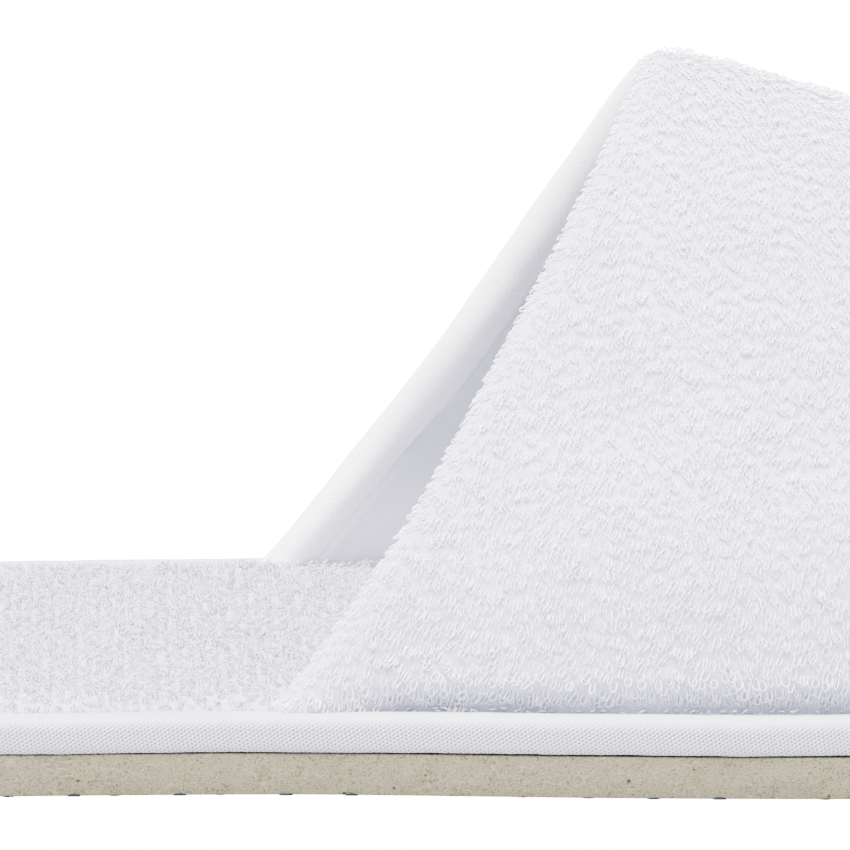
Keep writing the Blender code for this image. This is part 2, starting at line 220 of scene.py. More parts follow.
class UpperForm:
    """The upper's outer face as a formula, and every depth below it."""

    seam_plane = SIZES.tape_top
    corner_x = -17.3 * MM
    lean = 46.9 * MM
    bow = 0.85
    ridge_top = 72.5 * MM
    ridge_fall = 0.311
    knee_x = 33 * MM
    knee = 6 * MM
    arch_inset = 2.0 * MM
    throat_power = 1.35
    ball_power = 2.05
    toe_power = 3.0
    crest_rounding = 0.17
    bulge = 2.2 * MM
    bulge_height = 36 * MM
    tuck_depth = 3.1 * MM
    tuck_height = 3.8 * MM
    tuck_run = 14 * MM
    crest_fade = 8
    crest_share = 0.9995
    nudge = 1e-4
    terry_foot = -0.55 * MM
    lining_foot = 0.8 * MM
    hem_face = 5.55 * MM
    hem_width = 6.0 * MM
    side_run = 90 * MM
    toe_run = 100 * MM

    def ridge(self, x: float) -> float:
        """Returns the ridge's height above the seam plane at x."""
        past = x - self.knee_x
        return self.ridge_top - self.ridge_fall * (math.hypot(past, self.knee) + past) / 2

    def shift(self, height: float, level: float, tuck: float) -> float:
        """Returns how far the wall stands out from the plain arch at a height, fading out at the crest."""
        swell = self.bulge * math.sin(math.pi * min(max(height / self.bulge_height, 0), 1)) ** 2
        tucked = tuck * self.tuck_depth * (1 - smoothstep(height / self.tuck_height))
        return (swell - tucked) * min(1, self.crest_fade * (1 - level))

    def station(self, run: float) -> float:
        """Returns the station at a run of cloth from the lip: 1 at the ball, 2 at the toe's tip."""
        return min(run / self.side_run, 1) + min(max((run - self.side_run) / self.toe_run, 0), 1)

    def spread(self, level: float, power: float) -> float:
        """Returns the share of its foot's half width that an arch still has at a level."""
        base = self.crest_rounding**power
        full = (1 + self.crest_rounding**2) ** (power / 2) - base
        return math.sqrt(max(((1 - level) * full + base) ** (2 / power) - self.crest_rounding**2, 0))

    def outer(self, column: Column, share: float) -> Vector:
        """Args:
            column: Which line up the upper.
            share: 0 at its foot, 1 at the ridge.

        Returns:
            The point of the +Y side's outer face, above the seam plane.
        """
        if column.station <= 1:
            return self._side(column, share)
        return self._toe(column, share)

    def _side(self, c: Column, share: float) -> Vector:
        """Args:
            c: Which line up the upper, between the throat and the ball.
            share: 0 at its foot, 1 at the ridge.

        Returns:
            The point of the outer face, above the seam plane.
        """
        level = (c.foot + (self.ridge_top - c.foot) * share) / self.ridge_top
        start = self.corner_x + self.lean * max(level, 0) ** self.bow + c.distance
        x = start + (SIZES.ball_x - start) * c.station
        ridge = self.ridge(x)
        level = c.foot / ridge + (1 - c.foot / ridge) * share
        power = self.throat_power + (self.ball_power - self.throat_power) * c.station
        half_width = (OUTLINE.half_width(x) - self.arch_inset) * self.spread(level, power)
        shift = self.shift(ridge * level, level, c.tuck)
        return Vector((x, half_width + shift, ridge * level))

    def _toe(self, c: Column, share: float) -> Vector:
        """Args:
            c: Which line up the upper, on the toe's round end.
            share: 0 at its foot, 1 at the ridge.

        Returns:
            The point of the outer face, above the seam plane.
        """
        turn = c.station - 1
        angle = min(math.pi / 2 * turn, QUARTER_TURN)
        reach = SIZES.length / 2 - SIZES.ball_x - self.arch_inset
        breadth = SIZES.ball_half_width - self.arch_inset
        squareness = SIZES.toe_squareness
        round_power = 2 / squareness
        rim = Vector((reach * math.sin(angle) ** round_power, breadth * math.cos(angle) ** round_power, 0))
        power = self.ball_power + (self.toe_power - self.ball_power) * turn
        foot_level = c.foot / self.ridge(SIZES.ball_x + rim.x)
        level = foot_level + (1 - foot_level) * share
        ray = rim * self.spread(level, power)
        height = self.ridge(SIZES.ball_x + ray.x) * level
        steep = squareness - 1
        outward = Vector((rim.x**steep / reach**squareness, rim.y**steep / breadth**squareness, 0))
        shifted = ray + outward.normalized() * self.shift(height, level, c.tuck)
        return Vector((SIZES.ball_x, 0, height)) + shifted

    def outward(self, c: Column, share: float) -> Vector:
        """Returns the outward direction at a point of the outer face."""
        here = self.outer(c, share)
        if share > self.crest_share:
            slope = (self.ridge(here.x + MM) - self.ridge(here.x - MM)) / (2 * MM)
            return Vector((-slope, 0, 1)).normalized()
        step = self.nudge if c.station < 1.5 else -self.nudge
        beside = Column(c.distance, c.station + step, c.depth, c.foot, c.tuck)
        forward = (self.outer(beside, share) - here) / step
        upward = self.outer(c, share + self.nudge) - here
        return upward.cross(forward).normalized()

    def point(self, c: Column, share: float, side: int = 1) -> Vector:
        """Args:
            c: Which line up the upper.
            share: 0 at its foot, 1 at the ridge.
            side: 1 for the +Y side, -1 for the other.

        Returns:
            The point at the column's depth, in the slipper's frame.
        """
        point = self.outer(c, share) - self.outward(c, share) * c.depth
        if share >= 1:
            point.y = 0
        return Vector((point.x, point.y * side, point.z + self.seam_plane))

    def terry_column(self, run: float, below: float) -> Column:
        """Args:
            run: Metres along the cloth from the hem's inner edge to the toe's tip.
            below: How far under the tips of the pile.

        Returns:
            The column there, on the hem, on the rolled lip or on the outside.
        """
        radius = self.hem_face / 2
        hem = self.hem_width - radius
        past_lip = run - self.lip_end
        if run < hem:
            return Column(self.hem_width - run, 0, self.hem_face - below, self.lining_foot, 0)
        if past_lip < 0:
            angle = math.pi * (run - hem) / (self.lip_end - hem)
            bend = radius - below
            share = (1 + math.cos(angle)) / 2
            foot = self.terry_foot + (self.lining_foot - self.terry_foot) * share
            return Column(radius - bend * math.sin(angle), 0, radius + bend * math.cos(angle), foot, 0)
        tuck = smoothstep(past_lip / self.tuck_run)
        return Column(radius, self.station(past_lip), below, self.terry_foot, tuck)

    @property
    def lip_end(self) -> float:
        """The length of cloth from the hem's inner edge to the end of the rolled lip."""
        radius = self.hem_face / 2
        return self.hem_width - radius + math.pi * radius

    @property
    def terry_run(self) -> float:
        """The whole length of cloth from the hem's inner edge to the toe's tip."""
        return self.lip_end + self.side_run + self.toe_run


FORM = UpperForm()


# ---------- making meshes


def keep(name: str, shape: bmesh.types.BMesh, smooth: bool = True) -> bpy.types.Object:
    """Turns a finished bmesh into an object in the scene.

    Args:
        name: The piece's name.
        shape: The bmesh, freed here.
        smooth: Whether its faces are shaded smooth.

    Returns:
        The new object, at the origin.
    """
    mesh = bpy.data.meshes.new(name)
    shape.to_mesh(mesh)
    shape.free()
    if smooth:
        mesh.shade_smooth()
    piece = bpy.data.objects.new(name, mesh)
    bpy.context.scene.collection.objects.link(piece)
    return piece


def laid_grid(points: np.ndarray) -> tuple[bmesh.types.BMesh, list[tuple[int, int]]]:
    """Makes a grid and lays each of its vertices on its own point.

    Args:
        points: An array (columns, rows, 3).

    Returns:
        The grid, and each vertex's column and row.
    """
    columns, rows = points.shape[0] - 1, points.shape[1] - 1
    shape = bmesh.new()
    bmesh.ops.create_grid(shape, x_segments=columns, y_segments=rows, size=0.5)
    shape.verts.index_update()
    places = [(round((v.co.x + 0.5) * columns), round((v.co.y + 0.5) * rows)) for v in shape.verts]
    for vert, place in zip(shape.verts, places):
        vert.co = points[place]
    return shape, places


def formed_cloth(
    name: str, points: np.ndarray, cloth: tuple[float, float], weld: float = WELD
) -> bpy.types.Object:
    """Lays a grid of cloth through rows of points.

    Args:
        name: The piece's name.
        points: An array (columns, rows, 3), whose first direction crossed with its second faces out.
        cloth: The cloth's size along the columns and rows, in metres, for its UV map.
        weld: Points nearer than this are one, so that a ring or a ridge closes.

    Returns:
        The cloth as an object with a UV map in metres.
    """
    shape, places = laid_grid(points)
    uv = shape.loops.layers.uv.new("cloth")
    step = (cloth[0] / (points.shape[0] - 1), cloth[1] / (points.shape[1] - 1))
    for face in shape.faces:
        for corner in face.loops:
            column, row = places[corner.vert.index]
            corner[uv].uv = (column * step[0], row * step[1])
    bmesh.ops.remove_doubles(shape, verts=shape.verts, dist=weld)
    bmesh.ops.recalc_face_normals(shape, faces=shape.faces)
    return keep(name, shape)


def thicken(piece: bpy.types.Object, thickness: float, offset: float = -1) -> None:
    """Gives an open cloth its thickness.

    Args:
        piece: The cloth.
        thickness: In metres.
        offset: -1 grows inwards from the cloth's face.
    """
    solid = piece.modifiers.new("thickness", "SOLIDIFY")
    solid.thickness = thickness
    solid.offset = offset


def swelling(points: np.ndarray, sewn: Callable[[int, int], bool], cap: float) -> np.ndarray:
    """Lets a cloth swell over the padding under it, held where it is sewn down.

    Args:
        points: The cloth's grid, whose first direction crossed with its second faces out.
        sewn: Tells whether the cloth is held at a column and row of the grid.
        cap: The furthest that the cloth may move, in metres.

    Returns: How far each point of the grid moves outwards.
    """
    picks = []
    for count in points.shape[:2]:
        picks.append(np.unique(np.linspace(0, count - 1, count // SIM_STEP).round().astype(int)))
    coarse = points[np.ix_(*picks)]
    shape, places = laid_grid(coarse)
    cloth = keep("swelling_cloth", shape)
    held = [n for n, (i, j) in enumerate(places) if sewn(int(picks[0][i]), int(picks[1][j]))]
    cloth.vertex_groups.new(name="sewn").add(held, 1.0, "REPLACE")
    settings = cloth.modifiers.new("swelling", "CLOTH").settings
    settings.vertex_group_mass = "sewn"
    settings.use_pressure = True
    settings.uniform_pressure_force = SIM_PRESSURE
    settings.effector_weights.gravity = 0
    for step in range(1, SIM_FRAMES + 1):
        bpy.context.scene.frame_set(step)
    settled = cloth.evaluated_get(bpy.context.evaluated_depsgraph_get()).data
    moved = np.zeros(coarse.shape[:2])
    for vert, rest, place in zip(settled.vertices, cloth.data.vertices, places):
        moved[place] = min(max((vert.co - rest.co).dot(rest.normal), -cap), cap)
    bpy.data.objects.remove(cloth)
    bpy.context.scene.frame_set(1)
    columns, rows = (np.arange(count) for count in points.shape[:2])
    along = np.array([np.interp(columns, picks[0], line) for line in moved.T])
    return np.array([np.interp(rows, picks[1], line) for line in along.T])


def stitches(name: str, runs: list[tuple[Vector, Vector]], radius: float) -> bpy.types.Object:
    """Makes a row of short stitches, each a small rounded bar.

    Args:
        name: The row's name.
        runs: Each stitch's two ends.
        radius: The thread's radius.

    Returns:
        All the stitches as one piece.
    """
    shape = bmesh.new()
    for start, end in runs:
        along = end - start
        bar = Matrix.Translation((start + end) / 2) @ along.to_track_quat("Z", "Y").to_matrix().to_4x4()
        bar = bar @ Matrix.Diagonal((radius, radius, along.length / 2, 1))
        bmesh.ops.create_uvsphere(shape, u_segments=6, v_segments=5, radius=1.0, matrix=bar)
    return keep(name, shape)


def own(piece: bpy.types.Object, slot: str, *nodes: str) -> bpy.types.Object:
    """Joins a piece to the slipper's one body.

    Args:
        piece: The finished piece.
        slot: The record's material slot named for the piece; not used.
        nodes: The solids that it stands for.

    Returns:
        The same piece.
    """
    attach(piece, "root")
    if nodes:
        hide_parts(*nodes)
    log.info("%s: %d faces", piece.name, len(piece.data.polygons))
    return piece


# ---------- finishes


class Amount:
    """A number that flows through a node tree, so that sums on it are written as sums."""

    def __init__(self, graph: "Graph", socket: bpy.types.NodeSocket) -> None:
        """Args:
            graph: The tree's graph.
            socket: The output that carries the number.
        """
        self.graph = graph
        self.socket = socket

    def __add__(self, other: object) -> "Amount":
        """Returns both added."""
        return self.graph.math("ADD", self, other)

    def __sub__(self, other: object) -> "Amount":
        """Returns this less the other."""
        return self.graph.math("SUBTRACT", self, other)

    def __mul__(self, other: object) -> "Amount":
        """Returns both multiplied."""
        return self.graph.math("MULTIPLY", self, other)

    def __truediv__(self, other: object) -> "Amount":
        """Returns this divided by the other."""
        return self.graph.math("DIVIDE", self, other)


class Graph:
    """Short ways to add and join nodes in one node tree."""

    def __init__(self, tree: bpy.types.NodeTree) -> None:
        """Args:
            tree: The node tree to fill.
        """
        self.tree = tree

    def join(self, value: object, socket: bpy.types.NodeSocket) -> None:
        """Args:
            value: An amount or an output to join to the input, or a plain value to set it to.
            socket: The input.
        """
        source = value.socket if isinstance(value, Amount) else value
        if isinstance(source, bpy.types.NodeSocket):
            self.tree.links.new(source, socket)
        else:
            socket.default_value = source

    def add(self, kind: str, inputs: dict | None = None, **settings: object) -> bpy.types.Node:
        """Args:
            kind: The node's type name.
            inputs: Socket name or number to what it is joined or set to.
            settings: Properties of the node.

        Returns:
            The new node.
        """
        node = self.tree.nodes.new(kind)
        for name, value in settings.items():
            setattr(node, name, value)
        for name, value in (inputs or {}).items():
            self.join(value, node.inputs[name])
        return node

    def math(self, operation: str, *values: object) -> Amount:
        """Returns the result of one operation."""
        node = self.add("ShaderNodeMath", dict(enumerate(values)), operation=operation)
        return Amount(self, node.outputs[0])

    def wave(self, turns: Amount) -> Amount:
        """Returns a wave from -1 to 1 that repeats with each whole turn."""
        return self.math("SINE", turns * (2 * math.pi))

    def parts(self, vector: object) -> list[Amount]:
        """Returns a vector's three parts."""
        split = self.add("ShaderNodeSeparateXYZ", {"Vector": vector})
        return [Amount(self, part) for part in split.outputs]

    def ramp(
        self, value: object, low: object, high: object, out_low: float = 0.0, out_high: float = 1.0
    ) -> Amount:
        """Returns value mapped from low..high to out_low..out_high, held at both ends."""
        inputs = {"Value": value, "From Min": low, "From Max": high, "To Min": out_low, "To Max": out_high}
        return Amount(self, self.add("ShaderNodeMapRange", inputs).outputs["Result"])

    def noise(self, vector: object, scale: object, detail: float = 3.0) -> Amount:
        """Returns soft noise from 0 to 1 at a number of swells a metre."""
        inputs = {"Vector": vector, "Scale": scale, "Detail": detail}
        return Amount(self, self.add("ShaderNodeTexNoise", inputs).outputs["Fac"])

    def blend(self, factor: object, first: object, second: object) -> bpy.types.NodeSocket:
        """Returns a colour between two."""
        return self.add("ShaderNodeMix", {0: factor, 6: first, 7: second}, data_type="RGBA").outputs[2]


class Effect:
    """A node group whose outputs are a tint mask and a height, shared by the finishes that use it."""

    def __init__(self, name: str, settings: dict[str, float]) -> None:
        """Args:
            name: The group's name.
            settings: The group's own named inputs and what they start at.
        """
        self.tree = bpy.data.node_groups.new(name, "ShaderNodeTree")
        self.graph = Graph(self.tree)
        self.tree.interface.new_socket("Vector", in_out="INPUT", socket_type="NodeSocketVector")
        for key, value in settings.items():
            socket = self.tree.interface.new_socket(key, in_out="INPUT", socket_type="NodeSocketFloat")
            socket.default_value = value
        self.tree.interface.new_socket("Mask", in_out="OUTPUT", socket_type="NodeSocketFloat")
        self.tree.interface.new_socket("Height", in_out="OUTPUT", socket_type="NodeSocketFloat")
        self.given = self.tree.nodes.new("NodeGroupInput").outputs
        self.result = self.tree.nodes.new("NodeGroupOutput").inputs

    def returns(self, mask: Amount, height: Amount) -> None:
        """Joins the two results to the group's outputs."""
        self.graph.join(mask, self.result["Mask"])
        self.graph.join(height, self.result["Height"])


def foam_effect() -> Effect:
    """Closed-cell foam: fine grain, sparse open pores and shallow dents.

    Returns:
        The effect, whose mask is 1 in a pore, where the finish paints shade in the hollow.
    """
    swells = {"Specks a Metre": 3000.0, "Dents a Metre": 330.0, "Scratches a Metre": 240.0}
    effect = Effect("foam grain", {"Pores a Metre": 520.0, "Grain a Metre": 5200.0, **swells})
    g, given = effect.graph, effect.given
    place = given["Vector"]
    spread = {"Vector": place, "Scale": given["Pores a Metre"], "Randomness": 1.0}
    cells = g.add("ShaderNodeTexVoronoi", spread)
    chosen = g.add("ShaderNodeSeparateColor", {"Color": cells.outputs["Color"]}).outputs[0]
    distance = Amount(g, cells.outputs["Distance"])
    width = g.ramp(chosen, 0.72, 1.0, 0.01, 0.19)
    # Pores are painted dark, as shade in their hollows.
    pore = g.math("LESS_THAN", distance, width) * g.ramp(distance / width, 0.35, 1.0, 1.0, 0.0)
    speck = g.ramp(g.noise(place, given["Specks a Metre"], 2.0), 0.60, 0.72)
    grain = g.noise(place, given["Grain a Metre"])
    dents = g.noise(place, given["Dents a Metre"])
    fold = g.math("ABSOLUTE", g.noise(place, given["Scratches a Metre"], 2.0) - 0.5)
    scratch = g.ramp(fold, 0.0, 0.018, 1.0, 0.0) * g.ramp(dents, 0.45, 0.6)
    height = grain * 0.7 + dents * 1.1 - pore * 1.6 - speck * 0.5 + scratch * 0.25
    shade = g.ramp(grain, 0.34, 0.66, 0.0, 0.42) + g.ramp(dents, 0.42, 0.66, 0.0, 0.1)
    shade = shade + speck * 0.3 - scratch * 0.5
    effect.returns(g.math("MAXIMUM", pore, shade), height)
    return effect


def twill_effect() -> Effect:
    """Twill tape: diagonal rows of short floats.

    Returns:
        The effect, whose mask is 1 in the grooves, where the finish paints shade between the floats.
    """
    sizes = {"Row Pitch": 0.41 * MM, "Float Pitch": 0.5 * MM, "Slant": 0.6}
    effect = Effect("twill weave", {**sizes, "Smooth From": 8.2 * MM, "Smooth To": 9.2 * MM})
    g, given = effect.graph, effect.given
    run, rise, _ = g.parts(given["Vector"])
    wander = (g.noise(given["Vector"], 500.0, 2.0) - 0.5) * (0.25 * MM)
    cosine, sine = g.math("COSINE", given["Slant"]), g.math("SINE", given["Slant"])
    rows = (run * sine - rise * cosine + wander) / given["Row Pitch"]
    floats = (run * cosine + rise * sine + wander) / given["Float Pitch"]
    stagger = g.math("FLOOR", rows) * 0.37
    fuzz = g.noise(given["Vector"], 6000.0, 2.0)
    height = g.wave(rows) * 0.30 + g.wave(floats + stagger) * 0.20 + 0.5 + fuzz * 0.25
    # Towards the fold the weave's bump flattens and its painted groove shade fades, which paints the fold
    # lighter as a painted highlight.
    smooth_lit_fold = g.ramp(rise, given["Smooth From"], given["Smooth To"], 1.0, 0.25)
    effect.returns(g.ramp(height, 0.16, 0.5, 1.0, 0.0) * smooth_lit_fold, height * smooth_lit_fold)
    return effect


def knit_effect() -> Effect:
    """Fine tricot lining: narrow wales with small stitches.

    Returns:
        The effect, whose mask is 1 between the wales.
    """
    effect = Effect("fine knit", {"Wale Pitch": 0.62 * MM, "Stitch Pitch": 0.5 * MM})
    g, given = effect.graph, effect.given
    run, rise, _ = g.parts(given["Vector"])
    sway = (g.noise(given["Vector"], 180.0, 2.0) - 0.5) * (0.8 * MM)
    wale = g.wave((run + sway) / given["Wale Pitch"])
    stitch = g.wave(rise / given["Stitch Pitch"])
    height = wale * 0.4 + stitch * 0.12 + 0.5 + g.noise(given["Vector"], 900.0) * 0.5
    effect.returns(g.ramp(height, 0.2, 0.9, 1.0, 0.0), height)
    return effect


def cotton_effect() -> Effect:
    """Cotton yarn and ground cloth: lint and soft uneven whiteness.

    Returns:
        The effect, whose mask is 1 in the duller patches.
    """
    effect = Effect("cotton", {"Lint a Metre": 3600.0, "Patches a Metre": 90.0})
    g, given = effect.graph, effect.given
    lint = g.noise(given["Vector"], given["Lint a Metre"], 3.0)
    patches = g.noise(given["Vector"], given["Patches a Metre"], 2.0)
    effect.returns(g.ramp(patches, 0.35, 0.7), lint)
    return effect


class Place(Enum):
    """What a finish's pattern follows."""

    OBJECT = "Object"
    CLOTH = "UV"


@dataclass(frozen=True)
class Finish:
    """One material: two colours between which its effect's mask chooses, and its feel."""

    name: str
    colour: tuple[float, float, float]
    second: tuple[float, float, float]
    roughness: float
    bump: float = 0.3
    depth: float = 0.1 * MM
    place: Place = Place.OBJECT
    sheen: float = 0.0

    def make(self, effect: Effect) -> bpy.types.Material:
        """Args:
            effect: The shared pattern that this finish reads.

        Returns:
            The material.
        """
        material = bpy.data.materials.new(self.name)
        material.use_nodes = True
        graph = Graph(material.node_tree)
        shader = material.node_tree.nodes["Principled BSDF"]
        coordinates = graph.add("ShaderNodeTexCoord").outputs[self.place.value]
        pattern = graph.add("ShaderNodeGroup", {}, node_tree=effect.tree)
        graph.join(coordinates, pattern.inputs["Vector"])
        mask, height = pattern.outputs["Mask"], pattern.outputs["Height"]
        graph.join(graph.blend(mask, (*self.colour, 1), (*self.second, 1)), shader.inputs["Base Color"])
        bump = graph.add("ShaderNodeBump", {"Strength": self.bump, "Distance": self.depth, "Height": height})
        graph.join(bump.outputs["Normal"], shader.inputs["Normal"])
        shader.inputs["Roughness"].default_value = self.roughness
        shader.inputs["Specular IOR Level"].default_value = 0.25
        shader.inputs["Sheen Weight"].default_value = self.sheen
        shader.inputs["Sheen Roughness"].default_value = 0.6
        return material


class Finishes:
    """Every material of the slipper, each made once."""

    def __init__(self) -> None:
        """Makes the effects, then the materials that share them."""
        foam, twill, knit, cotton = foam_effect(), twill_effect(), knit_effect(), cotton_effect()
        # The near-black second colour gives the foam's grain its darker tone and paints shade in its pores.
        self.foam = Finish(
            "greige_foam_painted_pore_shade", (0.238, 0.21, 0.14), (0.020, 0.016, 0.010), 0.85, 1.0, 0.28 * MM
        ).make(foam)
        self.rubber = Finish("navy_grip", (0.004, 0.006, 0.017), (0.007, 0.009, 0.022), 0.5, 0.2).make(cotton)
        # Painted shade: the near-black second colour darkens the white tape's grooves, standing for shade
        # between the floats.
        self.twill = Finish(
            "white_twill_painted_shade", (0.565, 0.57, 0.655), (0.085, 0.09, 0.11), 0.8, 1.0, 0.22 * MM, Place.CLOTH, 0.05
        ).make(twill)
        # Painted shade: the white knit lining is coloured grey-blue for the shade inside the throat.
        self.lining = Finish(
            "white_knit_painted_shade", (0.615, 0.615, 0.69), (0.575, 0.575, 0.655), 0.8, 0.25, 0.08 * MM, Place.CLOTH, 0.1
        ).make(knit)
        # Painted shade: the white ground cloth under the vamp's loops is coloured darker grey-blue, standing
        # for the shade between the loops.
        self.ground = Finish(
            "terry_ground_painted_shade", (0.57, 0.57, 0.70), (0.52, 0.52, 0.65), 1.0, 0.8, 0.25 * MM
        ).make(cotton)
        # Painted shade: the insole's white terry, ground and loops, is coloured darker grey-blue than the
        # vamp's because its upward face catches more of the key light; the throat and binding threads wear
        # the same painted shade.
        self.shaded_insole_ground = Finish(
            "insole_ground_painted_shade", (0.54, 0.54, 0.63), (0.50, 0.50, 0.59), 1.0, 0.8, 0.2 * MM
        ).make(cotton)
        self.pile = Finish(
            "terry_pile", (0.91, 0.91, 0.985), (0.885, 0.885, 0.97), 0.95, 0.3, 0.05 * MM
        ).make(cotton)
        self.shaded_cotton = Finish(
            "insole_cotton_painted_shade", (0.56, 0.56, 0.65), (0.51, 0.51, 0.605), 0.95, 0.3, 0.05 * MM
        ).make(cotton)
        self.hem = Finish(
            "brushed_hem", (0.93, 0.93, 0.985), (0.88, 0.88, 0.95), 1.0, 0.7, 0.2 * MM, sheen=0.5
        ).make(cotton)
        self.sponge = Finish("white_sponge", (0.82, 0.81, 0.76), (0.62, 0.60, 0.54), 0.95, 0.6).make(foam)
        self.fleece = Finish("backing_fleece", (0.74, 0.74, 0.72), (0.66, 0.66, 0.64), 0.95, 0.5).make(cotton)


def dress(material: bpy.types.Material, *pieces: bpy.types.Object) -> None:
    """Gives pieces one material.

    Args:
        material: The finish.
        pieces: What wears it.
    """
    for piece in pieces:
        piece.data.materials.clear()
        piece.data.materials.append(material)


# ---------- terry pile


@dataclass(frozen=True)
class LoopStyle:
    """How a terry's loops stand."""

    density: float
    width: float
    length: float
    lift: float
    yarn: float = 0.1 * MM
    swirl: float = 0.5
    scatter: float = 0.22
    loops_a_patch: int = 5200
    droop_back: float = 0.15
    least: float = 0.75
    spread: float = 0.5


class TerryPile:
    """Loops of yarn that stand on a cloth."""

    SIDES = 3
    BENDS = (
        ((-0.28, -0.1, -0.35), (-0.47, 0.3, 0.45), (-0.42, 0.8, 0.95), (0, 1.0, 1.0))
        + ((0.42, 0.8, 0.95), (0.47, 0.3, 0.45), (0.28, -0.1, -0.35)),
        ((-0.1, -0.1, -0.35), (-0.5, 0.35, 0.5), (-0.4, 0.85, 1.0), (0.05, 1.05, 0.85))
        + ((0.45, 0.75, 0.7), (0.3, 0.3, 0.4), (0.0, -0.1, -0.35)),
        ((-0.35, -0.1, -0.35), (-0.3, 0.4, 0.6), (-0.15, 0.9, 1.1), (0.2, 1.1, 1.0))
        + ((0.4, 0.75, 0.8), (0.25, 0.3, 0.5), (0.3, -0.1, -0.35)),
    )

    def __init__(self, style: LoopStyle, seed: int) -> None:
        """Args:
            style: The loops' sizes and spacing.
            seed: Starts the random draws, so that each run gives the same pile.
        """
        self.style = style
        self.random = Random(seed)
        self.loops = [self._loop(bends) for bends in self.BENDS]

    def _loop(self, bends: tuple) -> bpy.types.Mesh:
        """Args:
            bends: The loop's path at unit size, with its ends in the cloth.

        Returns:
            A thin tube along the path at the style's size.
        """
        size = Vector((self.style.width, self.style.length, self.style.lift))
        path = [Vector(bend) * size for bend in bends]
        shape = bmesh.new()
        rings = []
        for index, spot in enumerate(path):
            before, after = path[max(index - 1, 0)], path[min(index + 1, len(path) - 1)]
            turn = (after - before).to_track_quat("Z", "Y").to_matrix().to_4x4()
            turn.translation = spot
            made = bmesh.ops.create_circle(shape, segments=self.SIDES, radius=self.style.yarn, matrix=turn)
            rings.append({edge for vert in made["verts"] for edge in vert.link_edges})
        for low, high in zip(rings[:-1], rings[1:]):
            bmesh.ops.bridge_loops(shape, edges=list(low | high))
        bmesh.ops.holes_fill(shape, edges=shape.edges)
        bmesh.ops.recalc_face_normals(shape, faces=shape.faces)
        mesh = bpy.data.meshes.new("loop")
        shape.to_mesh(mesh)
        shape.free()
        return mesh

    def grow(
        self, name: str, points: np.ndarray, share_at: Callable[[np.ndarray], float]
    ) -> list[bpy.types.Object]:
        """Sets loops up each strip of the cloth at an even spacing, in wales.

        Args:
            name: The patches' name, which a number follows.
            points: The cloth's grid, whose first direction crossed with its second faces out.
            share_at: Gives the share of the style's density that grows at a place.

        Returns:
            The patches of loops, each a piece of its own.
        """
        corner = points[:-1, :-1]
        across, up = points[1:, :-1] - corner, points[:-1, 1:] - corner
        facing = np.cross(across, up)
        area = np.linalg.norm(facing, axis=2)
        patches, shape, grown = [], bmesh.new(), 0
        coordinates = [np.array([v.co for v in loop.vertices]) for loop in self.loops]
        for column in range(corner.shape[0]):
            owed = self.random.random()
            for row in range(corner.shape[1]):
                owed += area[column, row] * self.style.density * share_at(corner[column, row])
                while owed >= 1:
                    owed -= 1
                    u, v = 0.5 + self.random.gauss(0, self.style.scatter), self.random.random()
                    root = corner[column, row] + across[column, row] * u + up[column, row] * v
                    normal = Vector(facing[column, row]).normalized()
                    down = Vector((0, 0, -1)) - self.style.droop_back * Vector(up[column, row]).normalized()
                    kind = self.random.randrange(len(self.loops))
                    moved = coordinates[kind] @ self._stance(Vector(root), normal, down).T + root
                    self.loops[kind].vertices.foreach_set("co", moved.ravel())
                    shape.from_mesh(self.loops[kind])
                    grown += 1
                    if grown == self.style.loops_a_patch:
                        patches.append(keep(f"{name}_{len(patches) + 1}", shape))
                        shape, grown = bmesh.new(), 0
        if grown:
            patches.append(keep(f"{name}_{len(patches) + 1}", shape))
        for kind, loop in enumerate(self.loops):
            loop.vertices.foreach_set("co", coordinates[kind].ravel())
        return patches

    def _stance(self, root: Vector, normal: Vector, down: Vector) -> np.ndarray:
        """Turns and stretches one loop, which hangs down the cloth and sways with its neighbours.

        Args:
            root: Where the loop stands.
            normal: The cloth's outward direction.
            down: Which way the loop hangs.

        Returns:
            The loop's three axes as a matrix.
        """
        style, draw = self.style, self.random
        sway = ripple(root, 9 * MM, 3.0) + 0.5 * ripple(root, 3.5 * MM, 7.0)
        angle = style.swirl * (1.6 * sway + draw.gauss(0, 0.5))
        down = (down - normal * down.dot(normal)).normalized()
        side = down.cross(normal)
        turned = Matrix.Rotation(angle, 3, normal)
        down, side = turned @ down, turned @ side
        lift = style.least + style.spread * draw.random() + 0.35 * ripple(root, 5 * MM, 11.0)
        width = style.least + style.spread * draw.random()
        length = style.least + style.spread * draw.random()
        return np.array([list(axis) for axis in (side * width, down * length, normal * lift)]).T


# ---------- sub-assemblies


@dataclass
class Assembly:
    """What every sub-assembly has: the finishes it wears, its pieces and its pile."""

    finishes: Finishes
    pieces: dict[str, bpy.types.Object] = field(default_factory=dict)
    pile: list[bpy.types.Object] = field(default_factory=list)


